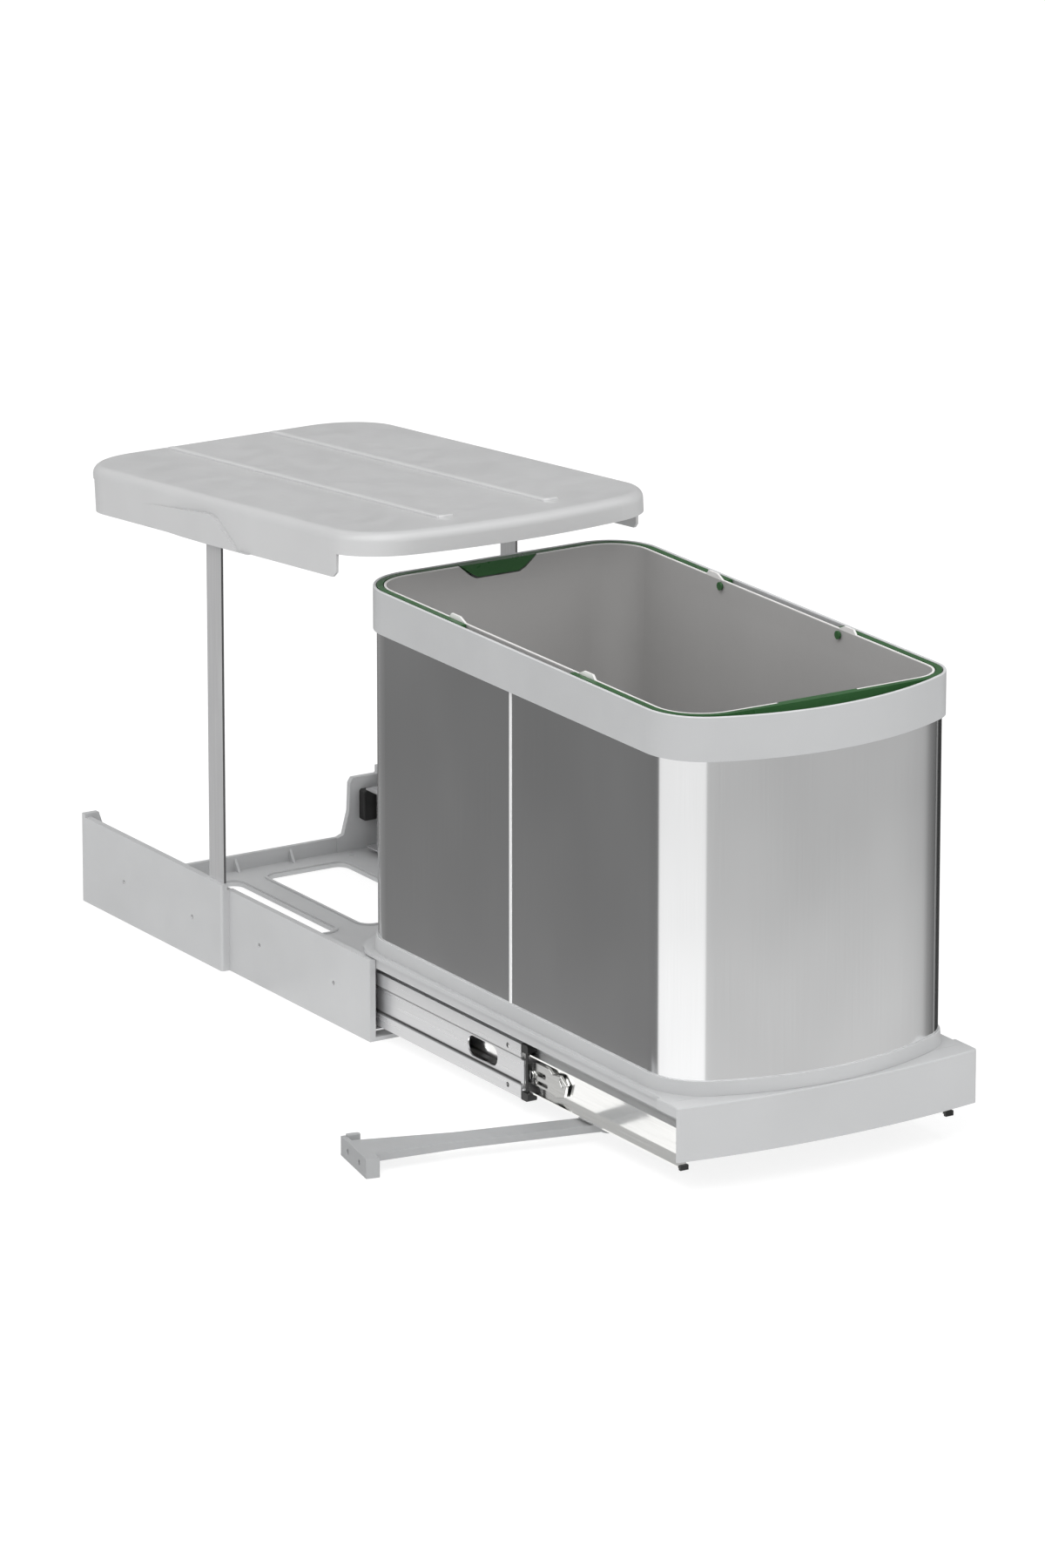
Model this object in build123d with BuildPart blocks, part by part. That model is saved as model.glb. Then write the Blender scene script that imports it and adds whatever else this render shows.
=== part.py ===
"""Pull-out waste bin for a 300 mm base cabinet, shown pulled out with its lid tilted up.

Frame: X across the cabinet, -Y towards the door, +Z up. The origin is the centre of the
floor frame's footprint, on the cabinet floor. All sizes are in millimetres.
"""

import os
from math import cos, radians, sin, sqrt

from build123d import *

os.makedirs("parts", exist_ok=True)

# floor frame
FRAME_LENGTH = 405.0
FRAME_FRONT = -FRAME_LENGTH / 2
FRAME_REAR = FRAME_LENGTH / 2
WALL_OUT = 123.4  # half width over the front side walls
WALL_THICK = 4.7
WALL_TOP = 61.3
REAR_OUT = 129.9  # half width over the rear side walls
REAR_THICK = 5.0
REAR_TOP = 66.0
REAR_LIFT = 3.0  # the rear walls start this far above the cabinet floor
STEP_Y = -3.6  # where the front walls step out to the rear walls
FLOOR_THICK = 3.0
RAIL_TOP = 14.4
RAIL_THICK = 3.5
OPENING_X = (12.0, 80.0)
OPENING_Y = (29.0, 175.0)
FLOOR_HOLE_X = 95.0
FLOOR_HOLE_Y = 187.0
FLOOR_HOLE_R = 2.25

# lid posts and lid pivot
POST_Y = (-1.0, 20.0)
POST_X = (124.2, 126.0)
POST_BOTTOM = 8.0
POST_TOP = 338.0
PIVOT_Y = 9.5
PIVOT_Z = 330.0
PIVOT_R = 3.0
LID_TILT = 5.1

# ball slides
SLIDE_Z = 30.5
SHEET = 1.2
OUTER_X = 118.7
OUTER_HEIGHT = 46.6
OUTER_LIP = 108.0
OUTER_Y = (-200.6, 187.4)
MIDDLE_X = 115.6
MIDDLE_HEIGHT = 39.8
MIDDLE_LIP = 107.6
MIDDLE_Y = (-393.6, -5.6)
BAND_HEIGHT = 10.5
BAND_STEP = 1.6
INNER_X = 105.2
INNER_HEIGHT = 28.0
INNER_LIP = 113.0
INNER_Y = (-591.6, -201.6)
SCREW_YS = (-151.6, -46.6, 39.4, 140.4)
INNER_SCREW_YS = (-584.0, -230.0)
LEVER_AXIS = (-399.5, 29.0)

# bin
BIN_HALF = 115.9
BIN_REAR = -167.6
BIN_FRONT = -614.6
BIN_BOW = 221.0
BIN_REAR_CORNER = 40.0
BIN_FRONT_CORNER = (47.0, 30.0)  # left, right
COLLAR_Z = (302.0, 333.5)
COLLAR_WALL = 2.2
SHELL_INSET = 2.7
SHELL_THICK = 0.8
SHELL_Z = (66.4, 313.0)
LEDGE_TOP = 315.2
SEAM_Y = -376.0

# tray and its front
TRAY_HALF = 120.4
TRAY_REAR = -163.0
TRAY_DECK = (62.4, 65.0)
APRON_X = (116.2, 118.2)
APRON_Z = 54.6
SKIRT_TOP = 75.0
BODY_HALF = 105.0
BODY_WALL = 2.4
BODY_BOTTOM = 24.0
PANEL_BACK = -592.6
PANEL_HALF = 123.4
PANEL_FRONT = -617.0
PANEL_BOW = 714.0
PANEL_Z = (26.0, 65.0)
PANEL_RETURN_Z = 57.5  # its side returns reach down to here
PANEL_WALL = 3.0

# bucket and handles
RIM_HALF = 107.7
RIM_REAR = -175.8
RIM_FRONT = -589.0
RIM_BOW = 3000.0
RIM_REAR_CORNER = 31.0
RIM_FRONT_CORNER = (36.0, 24.0)
RIM_WALL = 1.6
TAB_TOP = 336.2
BUCKET_TOP = 333.0
BUCKET_BOTTOM = 70.0
FLANGE_Z = (315.3, 316.9)
BUCKET_TAPER = 8.0
NOTCH_Z = 322.0
NOTCH_HALF = (18.0, 33.0)
HANDLE_GAP = 0.8
HANDLE_WIDTH = 4.3
HANDLE_Z = (326.6, 333.2)
GRIP_Z = 323.2
HANDLE_AXIS_Z = 328.6
REAR_AXIS_Y = -306.0
FRONT_AXIS_Y = -456.0

# lid, measured level and then tilted about the pivot
LID_HALF = 127.4
LID_REAR = 219.6
LID_FRONT = -217.0
LID_BOW = 402.0
LID_TOP = 353.8
LID_WALL = 2.0
LID_ROLL = 7.0
LID_REAR_CORNER = 50.0
LID_FRONT_CORNER = 52.0
SKIRT_REAR_Z = 344.0
SKIRT_REAR_Y = 186.0
SKIRT_SIDE_Z = 320.0
SKIRT_FRONT_Z = 337.0
TAB_FRONT_Y = -164.5
TAB_CHAMFER = 3.5

# link arm to the cabinet door
ARM_PIN = (-92.0, -471.0)
ARM_ANGLE = 167.8  # direction from its pin to its door plate
ARM_LENGTH = 183.0
DOOR_HOLE_Y = 12.0
DOOR_HOLE_Z = 7.2
ARM_Z = (8.0, 13.5)
PLATE_HEIGHT = 14.0


def save(builder, name):
    """Label a finished piece and write its STEP file."""
    builder.part.label = name
    export_step(builder.part, f"parts/{name}.step")


def bow_edge(half, apex, radius):
    """Y where a bowed front of this radius meets the side at half width."""
    return apex + radius - sqrt(radius**2 - half**2)


def outline(half, rear, apex, bow, rear_corner, front_corners):
    """Plan outline with a straight rear, straight sides and a bowed front with two corners."""
    side = bow_edge(half, apex, bow)
    with BuildSketch() as sketch:
        with BuildLine():
            Polyline((half, side), (half, rear), (-half, rear), (-half, side))
            ThreePointArc((-half, side), (0, apex), (half, side))
        make_face()
        fillet(sketch.vertices().group_by(Axis.Y)[-1], rear_corner)
        for end, radius in zip((-half, half), front_corners):
            fillet(sketch.vertices().sort_by_distance((end, side))[0], radius)
    return sketch.sketch


def bin_outline(inset):
    """The bin's plan outline, drawn in by inset."""
    return outline(
        BIN_HALF - inset, BIN_REAR - inset, BIN_FRONT + inset, BIN_BOW - inset,
        BIN_REAR_CORNER - inset, [radius - inset for radius in BIN_FRONT_CORNER],
    )


def rim_outline(inset):
    """The bucket rim's plan outline, straighter in front than the bin's."""
    return outline(
        RIM_HALF - inset, RIM_REAR - inset, RIM_FRONT + inset, RIM_BOW - inset,
        RIM_REAR_CORNER - inset, [radius - inset for radius in RIM_FRONT_CORNER],
    )


def ring(outer, inner, low, high):
    """Extrude the band between two plan outlines inside the current part."""
    with BuildSketch(Plane.XY.offset(low)) as between:
        add(outer)
        add(inner, mode=Mode.SUBTRACT)
    extrude(between.sketch, amount=high - low)


def block(x, y, z, mode=Mode.ADD):
    """A box between two limits on each axis inside the current part."""
    xs, ys, zs = sorted(x), sorted(y), sorted(z)
    centre = ((xs[0] + xs[1]) / 2, (ys[0] + ys[1]) / 2, (zs[0] + zs[1]) / 2)
    with Locations(centre):
        Box(xs[1] - xs[0], ys[1] - ys[0], zs[1] - zs[0], mode=mode)


def rod(x, y, z, radius, mode=Mode.ADD):
    """A cylinder along X between two x limits."""
    xs = sorted(x)
    with Locations(Location(((xs[0] + xs[1]) / 2, y, z), (0, 90, 0))):
        Cylinder(radius, xs[1] - xs[0], mode=mode)


# ---------------------------------------------------------------- floor frame
with BuildPart() as base_frame:
    with BuildSketch():
        Rectangle(2 * WALL_OUT, FRAME_LENGTH)
        centre_y = sum(OPENING_Y) / 2
        centre_x = sum(OPENING_X) / 2
        with Locations((centre_x, centre_y), (-centre_x, centre_y)):
            RectangleRounded(
                OPENING_X[1] - OPENING_X[0], OPENING_Y[1] - OPENING_Y[0], 9, mode=Mode.SUBTRACT
            )
        with GridLocations(2 * FLOOR_HOLE_X, 2 * FLOOR_HOLE_Y, 2, 2):
            Circle(FLOOR_HOLE_R, mode=Mode.SUBTRACT)
    extrude(amount=FLOOR_THICK)
    # raised border round each opening
    with BuildSketch(Plane.XY.offset(FLOOR_THICK)):
        with Locations((centre_x, centre_y), (-centre_x, centre_y)):
            RectangleRounded(OPENING_X[1] - OPENING_X[0] + 7, OPENING_Y[1] - OPENING_Y[0] + 7, 12)
            RectangleRounded(
                OPENING_X[1] - OPENING_X[0] + 3, OPENING_Y[1] - OPENING_Y[0] + 3, 10,
                mode=Mode.SUBTRACT,
            )
    extrude(amount=1.2)
    # rear rail with its stiffening ribs
    block((-REAR_OUT, REAR_OUT), (FRAME_REAR - RAIL_THICK, FRAME_REAR), (0, RAIL_TOP))
    for rib_x in (-48.0, 0.0, 48.0):
        with BuildSketch(Plane.YZ.offset(rib_x - 1)):
            with BuildLine():
                Polyline(
                    (FRAME_REAR - RAIL_THICK + 0.5, 2), (FRAME_REAR - RAIL_THICK + 0.5, 13),
                    (FRAME_REAR - RAIL_THICK - 7, 2), close=True,
                )
            make_face()
        extrude(amount=2)
    for side in (-1, 1):
        wall = (side * WALL_OUT, side * (WALL_OUT - WALL_THICK))
        block(wall, (FRAME_FRONT, STEP_Y + 4), (0, WALL_TOP))
        rear = (side * REAR_OUT, side * (REAR_OUT - REAR_THICK))
        block(rear, (STEP_Y, FRAME_REAR), (REAR_LIFT, REAR_TOP))
        # boss round the post reaches the floor, and steps in to the front wall
        block((side * REAR_OUT, side * WALL_OUT), (STEP_Y, POST_Y[1] + 6), (0, REAR_LIFT))
        block((side * REAR_OUT, side * (WALL_OUT - WALL_THICK)), (STEP_Y, STEP_Y + 5), (0, WALL_TOP))
        # rear wall stands on the floor plate by a web
        block((side * REAR_OUT, side * WALL_OUT), (STEP_Y, FRAME_REAR), (REAR_LIFT, REAR_LIFT + 3))
        block((side * REAR_OUT, side * (WALL_OUT - 4)), (STEP_Y, FRAME_REAR),
              (REAR_LIFT - 3, REAR_LIFT + 0.01))
        for screw_y in SCREW_YS[2:]:
            rod((side * (REAR_OUT - REAR_THICK + 0.5), side * OUTER_X), screw_y, SLIDE_Z, 5.0)
        for screw_y in SCREW_YS:
            rod((side * 135, side * 115), screw_y, SLIDE_Z, 1.75, mode=Mode.SUBTRACT)
        # pocket for the post, open to the inside
        block((side * (POST_X[1] + 0.15), side * 118), (POST_Y[0] - 0.15, POST_Y[1] + 0.15),
              (POST_BOTTOM - 0.1, REAR_TOP + 1), mode=Mode.SUBTRACT)
    # returns at the rear end of the walls: the right one is wider and carries the buffer
    with BuildSketch(Plane.XZ.offset(-FRAME_REAR)):
        with BuildLine():
            Polyline((-REAR_OUT, 3), (-REAR_OUT, 68.5), (-118, 68.5), (-113.8, 56), (-113.8, 3),
                     close=True)
        make_face()
        with BuildLine():
            Polyline((REAR_OUT, 3), (REAR_OUT, 66), (124, 60), (103, 60), (100.5, 56),
                     (99.5, 34), (94.7, 16.3), (88.8, 14), (88.8, 3), close=True)
        make_face()
    extrude(amount=4.5)
    # rounded outer edges
    fillet(base_frame.edges().filter_by(Axis.Z).filter_by_position(Axis.Y, STEP_Y - 0.1, STEP_Y + 0.1)
           .filter_by(lambda e: abs(abs(e.center().X) - REAR_OUT) < 0.1), 2.0)
save(base_frame, "base_frame")

# black rubber buffer on the right return
with BuildPart() as rear_buffer:
    with BuildSketch(Plane.XZ.offset(-(FRAME_REAR - 4.5))):
        with Locations((114.5, 38.5)):
            RectangleRounded(12, 24, 2)
    extrude(amount=7.5)
    fillet(rear_buffer.faces().sort_by(Axis.Y)[0].edges(), 1.2)
save(rear_buffer, "rear_buffer")

for side, hand in ((-1, "left"), (1, "right")):
    # flat steel post with a rounded top
    with BuildPart() as post:
        with BuildSketch(Plane.YZ.offset(side * POST_X[1])) as post_sketch:
            with Locations(((POST_Y[0] + POST_Y[1]) / 2, (POST_BOTTOM + POST_TOP) / 2)):
                Rectangle(POST_Y[1] - POST_Y[0], POST_TOP - POST_BOTTOM)
            fillet(post_sketch.vertices().group_by(Axis.Y)[-1], 7)
            with Locations((PIVOT_Y, PIVOT_Z)):
                Circle(PIVOT_R, mode=Mode.SUBTRACT)
            with Locations((PIVOT_Y + 0.5, 20), (PIVOT_Y + 0.5, 50)):
                Circle(2.0, mode=Mode.SUBTRACT)
        extrude(amount=-side * (POST_X[1] - POST_X[0]))
    save(post, f"{hand}_post")

    # pivot pin riveted into the post, with a flat head outside
    with BuildPart() as pivot_pin:
        rod((side * POST_X[1], side * 118.5), PIVOT_Y, PIVOT_Z, PIVOT_R)
        rod((side * (POST_X[1] + 0.45), side * POST_X[1]), PIVOT_Y, PIVOT_Z, PIVOT_R + 1.5)
        rod((side * 119.5, side * 118.3), PIVOT_Y, PIVOT_Z, PIVOT_R + 1.0)
    save(pivot_pin, f"{hand}_lid_pin")

with BuildPart() as post_screws:
    for side in (-1, 1):
        for z in (20, 50):
            rod((side * POST_X[0], side * (POST_X[0] - 1.8)), PIVOT_Y + 0.5, z, 3.6)
            rod((side * POST_X[0], side * (POST_X[1])), PIVOT_Y + 0.5, z, 2.0)
save(post_screws, "post_screws")

with BuildPart() as rail_screws:
    for side in (-1, 1):
        for index, screw_y in enumerate(SCREW_YS):
            wall_x = WALL_OUT if index < 2 else REAR_OUT
            rod((side * (wall_x - 1.2), side * OUTER_X), screw_y, SLIDE_Z, 1.75)
            rod((side * OUTER_X, side * (OUTER_X - SHEET)), screw_y, SLIDE_Z, 1.75)
save(rail_screws, "rail_screws")


# ---------------------------------------------------------------- ball slides
def channel(side, web, lip, height, span):
    """A C section: its web at x = web, its lips reaching to x = lip."""
    inward = -1 if lip < web else 1
    inside = web + inward * SHEET
    low, high = SLIDE_Z - height / 2, SLIDE_Z + height / 2
    block((side * web, side * inside), span, (low, high))
    block((side * web, side * lip), span, (low, low + SHEET))
    block((side * web, side * lip), span, (high - SHEET, high))


for side, hand in ((-1, "left"), (1, "right")):
    with BuildPart() as outer_rail:
        channel(side, OUTER_X, OUTER_LIP, OUTER_HEIGHT, OUTER_Y)
        for screw_y in SCREW_YS:
            rod((side * 120, side * 116), screw_y, SLIDE_Z, 1.75, mode=Mode.SUBTRACT)
    save(outer_rail, f"{hand}_outer_rail")

    # middle rail: two raised bands along its face, a flat centre with a window
    with BuildPart() as middle_rail:
        low, high = SLIDE_Z - MIDDLE_HEIGHT / 2, SLIDE_Z + MIDDLE_HEIGHT / 2
        face = MIDDLE_X
        back = MIDDLE_X - BAND_STEP
        for band in ((low, low + BAND_HEIGHT), (high - BAND_HEIGHT, high)):
            block((side * face, side * (face - SHEET)), MIDDLE_Y, band)
        block((side * back, side * (back - SHEET)), MIDDLE_Y,
              (low + BAND_HEIGHT - SHEET, high - BAND_HEIGHT + SHEET))
        for z in (low + BAND_HEIGHT - SHEET, high - BAND_HEIGHT):
            block((side * face, side * (back - SHEET)), MIDDLE_Y, (z, z + SHEET))
        for z in (low, high - SHEET):
            block((side * face, side * MIDDLE_LIP), MIDDLE_Y, (z, z + SHEET))
        with BuildSketch(Plane.YZ.offset(side * 110)):
            with Locations((-340, SLIDE_Z)):
                SlotOverall(40, 15)
        extrude(amount=side * 8, mode=Mode.SUBTRACT)
        for hole_z in (SLIDE_Z - 14.5, SLIDE_Z + 14.5):
            rod((side * 118, side * 112), -376, hole_z, 1.9, mode=Mode.SUBTRACT)
        # the centre ends in a small outward curl
        curl_y = (MIDDLE_Y[0] - 2.6, MIDDLE_Y[0] + 0.4)
        block((side * (face - 0.3), side * (back - SHEET)), curl_y, (SLIDE_Z - 9, SLIDE_Z + 9))
        fillet(middle_rail.edges().filter_by(Axis.Z)
               .filter_by_position(Axis.Y, curl_y[0] - 0.1, curl_y[0] + 0.1), 0.9)
    save(middle_rail, f"{hand}_middle_rail")

    # plastic guide in the middle rail's front end: two corner blocks on a thin back
    with BuildPart() as end_guide:
        guide_y = (MIDDLE_Y[0] - 8.5, MIDDLE_Y[0])
        for z in ((SLIDE_Z - 20.5, SLIDE_Z - 14.4), (SLIDE_Z + 14.4, SLIDE_Z + 20.5)):
            block((side * (MIDDLE_X - 0.2), side * MIDDLE_LIP), guide_y, z)
        fillet(end_guide.edges().filter_by(Axis.X)
               .filter_by_position(Axis.Y, guide_y[0] - 0.1, guide_y[0] + 0.1), 1.8)
        block((side * (MIDDLE_X - 2.4), side * (MIDDLE_X - 1.6)), (guide_y[0] + 2.5, guide_y[0] + 5),
              (SLIDE_Z - 19, SLIDE_Z + 19))
    save(end_guide, f"{hand}_end_guide")

    with BuildPart() as inner_rail:
        channel(side, INNER_X, INNER_LIP, INNER_HEIGHT, INNER_Y)
        for hole_y in INNER_SCREW_YS:
            rod((side * 107, side * 104), hole_y, SLIDE_Z, 1.8, mode=Mode.SUBTRACT)
    save(inner_rail, f"{hand}_inner_rail")

    # release lever in the inner rail's channel: pivots at its rear end
    with BuildPart() as release_lever:
        with BuildSketch(Plane.YZ.offset(side * 108.0)) as lever:
            with BuildLine():
                Polyline((-394.5, 22), (-394.5, 35.5), (-404, 39.3), (-421, 39.3), (-426, 36.4),
                         (-436, 38), (-444, 33), (-441, 23.5), (-431, 20.5), (-421, 22), close=True)
            make_face()
            fillet(lever.vertices(), 1.6)
            with Locations(LEVER_AXIS):
                Circle(2.05, mode=Mode.SUBTRACT)
            with Locations((-411, 31.6)):
                SlotOverall(12, 3.0, mode=Mode.SUBTRACT)
            with Locations((-412, 25.2)):
                SlotOverall(15, 2.2, mode=Mode.SUBTRACT)
            with Locations(Location((-437.5, 33.2), 50)):
                SlotOverall(6.5, 2.6, mode=Mode.SUBTRACT)
        extrude(amount=side * 2.2)
        fillet(release_lever.faces().sort_by(Axis.X)[-1 if side > 0 else 0].edges(), 0.5)
    save(release_lever, f"{hand}_release_lever")

    with BuildPart() as lever_pin:
        rod((side * (INNER_X + SHEET), side * 111.2), *LEVER_AXIS, 2.0)
        rod((side * 110.6, side * 111.4), *LEVER_AXIS, 3.0)
        rod((side * (INNER_X + SHEET), side * 107.6), *LEVER_AXIS, 3.0)
    save(lever_pin, f"{hand}_lever_pin")

    # cages: a thin strip above and below, with a row of balls
    outer_inside = OUTER_HEIGHT / 2 - SHEET
    middle_outside = MIDDLE_HEIGHT / 2
    middle_inside = MIDDLE_HEIGHT / 2 - SHEET
    inner_outside = INNER_HEIGHT / 2
    for cage, gap, near_x, far_x, start in (
        ("outer", (middle_outside, outer_inside), 115.4, 109.0, -190.0),
        ("inner", (inner_outside, middle_inside), 113.9, 107.1, -384.0),
    ):
        ball = (gap[1] - gap[0]) / 2 - 0.08
        middle = (gap[0] + gap[1]) / 2
        centre = (near_x + far_x) / 2
        ys = [start + 12 + 17 * n for n in range(7)]
        strip = 0.35 * ball
        with BuildPart() as ball_cage:
            for sign in (-1, 1):
                z = SLIDE_Z + sign * middle
                block((side * near_x, side * far_x), (start, start + 126), (z - strip, z + strip))
                with Locations(*[(side * centre, y, z) for y in ys]):
                    Cylinder(ball + 0.12, 4, mode=Mode.SUBTRACT)
        save(ball_cage, f"{hand}_{cage}_ball_cage")
        with BuildPart() as balls:
            for sign in (-1, 1):
                with Locations(*[(side * centre, y, SLIDE_Z + sign * middle) for y in ys]):
                    Sphere(ball)
        save(balls, f"{hand}_{cage}_balls")

# bumpers on the front ends of the inner rails
with BuildPart() as rail_bumpers:
    for side in (-1, 1):
        block((side * 106, side * 112.5), (INNER_Y[0] - 2.5, INNER_Y[0]), (14.9, 18.5))
save(rail_bumpers, "rail_bumpers")

# ---------------------------------------------------------------- tray
with BuildPart() as tray:
    # deck with rounded rear corners
    with BuildSketch(Plane.XY.offset(TRAY_DECK[0])) as deck:
        with Locations((0, (TRAY_REAR + PANEL_BACK + 0.2) / 2)):
            Rectangle(2 * TRAY_HALF, TRAY_REAR - PANEL_BACK - 0.2)
        fillet(deck.vertices().group_by(Axis.Y)[-1], 36)
        add(bin_outline(1.5))
    extrude(amount=TRAY_DECK[1] - TRAY_DECK[0])
    # skirt round the foot of the bin, leaning in
    with BuildSketch(Plane.XY.offset(TRAY_DECK[1])):
        add(bin_outline(0.2))
    extrude(amount=SKIRT_TOP - TRAY_DECK[1], taper=6)
    with BuildSketch(Plane.XY.offset(TRAY_DECK[1])):
        add(bin_outline(SHELL_INSET - 0.2))
    extrude(amount=20, mode=Mode.SUBTRACT)
    # body below the deck, open at the bottom
    front_y, rear_y = PANEL_BACK + 0.2, TRAY_REAR - 19
    block((-BODY_HALF, BODY_HALF), (front_y, rear_y), (BODY_BOTTOM, TRAY_DECK[0]))
    block((-BODY_HALF + BODY_WALL, BODY_HALF - BODY_WALL), (front_y + 2.4, rear_y - BODY_WALL),
          (BODY_BOTTOM, TRAY_DECK[0]), mode=Mode.SUBTRACT)
    for rib_y in (-530, -400, -290):
        block((-BODY_HALF + 1, BODY_HALF - 1), (rib_y - 1, rib_y + 1), (38, TRAY_DECK[0] + 0.5))
    # aprons under the deck's edges, outside the slides
    for side in (-1, 1):
        block((side * APRON_X[0], side * APRON_X[1]), (front_y, -188), (APRON_Z, TRAY_DECK[0] + 0.5))
    # ribs that hold the guide of the link arm
    for rib_y in (ARM_PIN[1] - 13, ARM_PIN[1] + 13):
        block((-BODY_HALF + 1, 30), (rib_y - 1, rib_y + 1), (24.2, TRAY_DECK[0] + 0.5))
    for screw_y in INNER_SCREW_YS:
        rod((-BODY_HALF - 1, BODY_HALF + 1), screw_y, SLIDE_Z, 1.8, mode=Mode.SUBTRACT)
save(tray, "tray")

with BuildPart() as inner_rail_screws:
    for side in (-1, 1):
        for screw_y in INNER_SCREW_YS:
            rod((side * (BODY_HALF - BODY_WALL - 1), side * (INNER_X + SHEET)), screw_y, SLIDE_Z, 1.8)
            rod((side * (INNER_X + SHEET), side * (INNER_X + SHEET + 1.4)), screw_y, SLIDE_Z, 3.4)
save(inner_rail_screws, "inner_rail_screws")

# bowed front, a shell open at the back and below
with BuildPart() as front_panel:
    with BuildSketch(Plane.XY.offset(PANEL_Z[0])) as panel_sketch:
        side_y = bow_edge(PANEL_HALF, PANEL_FRONT, PANEL_BOW)
        with BuildLine():
            Polyline((-PANEL_HALF, side_y), (-PANEL_HALF, PANEL_BACK), (PANEL_HALF, PANEL_BACK),
                     (PANEL_HALF, side_y))
            ThreePointArc((PANEL_HALF, side_y), (0, PANEL_FRONT), (-PANEL_HALF, side_y))
        make_face()
        fillet(panel_sketch.vertices().group_by(Axis.Y)[0], 3)
    extrude(amount=PANEL_Z[1] - PANEL_Z[0])
    # upper side returns
    block((-PANEL_HALF, PANEL_HALF), (PANEL_BACK - 1, PANEL_BACK + 12),
          (PANEL_RETURN_Z, PANEL_Z[1]))
    fillet(front_panel.edges().group_by(Axis.Z)[-1].filter_by_position(Axis.Y, -618, -604), 1.2)
    # hollow it
    with BuildSketch(Plane.XY.offset(PANEL_Z[0] - 1)):
        inner_half = PANEL_HALF - PANEL_WALL
        inner_front = PANEL_FRONT + PANEL_WALL
        inner_y = bow_edge(inner_half, inner_front, PANEL_BOW - PANEL_WALL)
        with BuildLine():
            Polyline((-inner_half, inner_y), (-inner_half, PANEL_BACK + 30),
                     (inner_half, PANEL_BACK + 30), (inner_half, inner_y))
            ThreePointArc((inner_half, inner_y), (0, inner_front), (-inner_half, inner_y))
        make_face()
    extrude(amount=PANEL_Z[1] - PANEL_Z[0] + 1 - 2.5, mode=Mode.SUBTRACT)
    # below the returns the sides are open behind the front wall
    for side in (-1, 1):
        block((side * (PANEL_HALF - 14), side * (PANEL_HALF + 1)), (side_y + 1.5, PANEL_BACK + 1),
              (PANEL_Z[0] - 1, PANEL_RETURN_Z), mode=Mode.SUBTRACT)
    # the bin's skirt passes through the top
    with BuildSketch(Plane.XY.offset(PANEL_Z[1] - 8)):
        add(bin_outline(0.05))
        with Locations((0, PANEL_BACK + 30)):
            Rectangle(2 * (BIN_HALF - 0.05), 60)
    extrude(amount=20, mode=Mode.SUBTRACT)
    # the returns lie outside the deck
    block((-TRAY_HALF - 0.1, TRAY_HALF + 0.1), (PANEL_BACK + 0.1, PANEL_BACK + 13),
          (PANEL_Z[1] - 8, PANEL_Z[1] + 1), mode=Mode.SUBTRACT)
save(front_panel, "front_panel")

with BuildPart() as steel_shell:
    ring(bin_outline(SHELL_INSET), bin_outline(SHELL_INSET + SHELL_THICK), *SHELL_Z)
save(steel_shell, "steel_shell")

with BuildPart() as seam_strip:
    block((-(BIN_HALF - SHELL_INSET), -(BIN_HALF - SHELL_INSET + 0.5)), (SEAM_Y - 1.1, SEAM_Y + 1.1),
          (SKIRT_TOP + 0.3, COLLAR_Z[0] - 0.1))
save(seam_strip, "seam_strip")

# collar with a ledge inside that carries the bucket
with BuildPart() as collar:
    ring(bin_outline(0), bin_outline(COLLAR_WALL), *COLLAR_Z)
    ring(bin_outline(COLLAR_WALL - 0.2), bin_outline(7.0), SHELL_Z[1] + 0.1, LEDGE_TOP)
    fillet(collar.edges().group_by(Axis.Z)[-1], 0.9)
save(collar, "collar")

# ---------------------------------------------------------------- bucket
def notch_shape(y, low, margin):
    """The grip opening's outline across the rim, drawn in by margin."""
    foot, mouth = NOTCH_HALF[0] - margin, NOTCH_HALF[1] - margin
    with BuildSketch(Plane.XZ.offset(-y)) as shape:
        with BuildLine():
            Polyline((-mouth, HANDLE_Z[1]), (-foot - 5, low + 2.5), (-foot, low), (foot, low),
                     (foot + 5, low + 2.5), (mouth, HANDLE_Z[1]), close=True)
        make_face()
    return shape.sketch


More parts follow.
